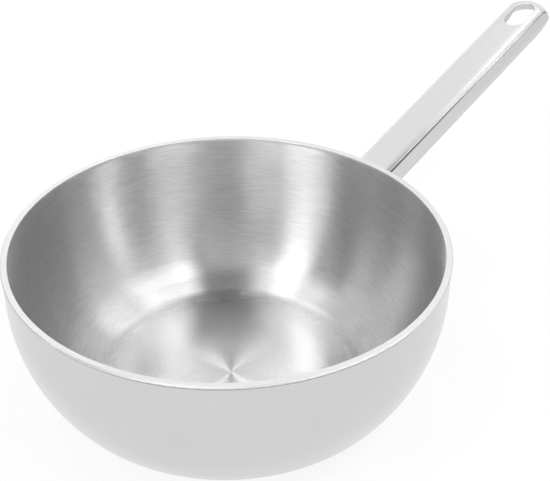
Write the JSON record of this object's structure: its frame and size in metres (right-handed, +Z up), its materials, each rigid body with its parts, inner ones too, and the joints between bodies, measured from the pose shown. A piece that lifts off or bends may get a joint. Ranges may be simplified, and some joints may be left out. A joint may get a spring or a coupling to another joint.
{
  "type": "saucier pan",
  "caption": "Round-bottomed open saucier pan in clad stainless steel with a sealed rim and one long welded handle that ends in a hanging slot.",
  "frame": {"origin": "centre of the flat base's underside", "axes": "+Z up out of the bowl, +X along the handle from the bowl to its tip, seen from above"},
  "size_m": [0.4364, 0.2474, 0.1437],
  "materials": {
    "brushed_lining": "circular brushed satin",
    "polished_steel": "fine satin polish",
    "rim_steel": "bright ground",
    "handle_steel": "satin with a polished edge",
    "weld_metal": "ground weld",
    "bond_aluminium": "rolled, enclosed",
    "core_aluminium": "rolled, enclosed"
  },
  "bodies": {
    "root": {"inner_skin": "brushed_lining", "inner_bond_layer": "bond_aluminium", "aluminium_core": "core_aluminium", "outer_bond_layer": "bond_aluminium", "outer_skin": "polished_steel", "rim_bead": "rim_steel", "handle": "handle_steel", "handle_weld": "weld_metal"}
  },
  "joints": []
}
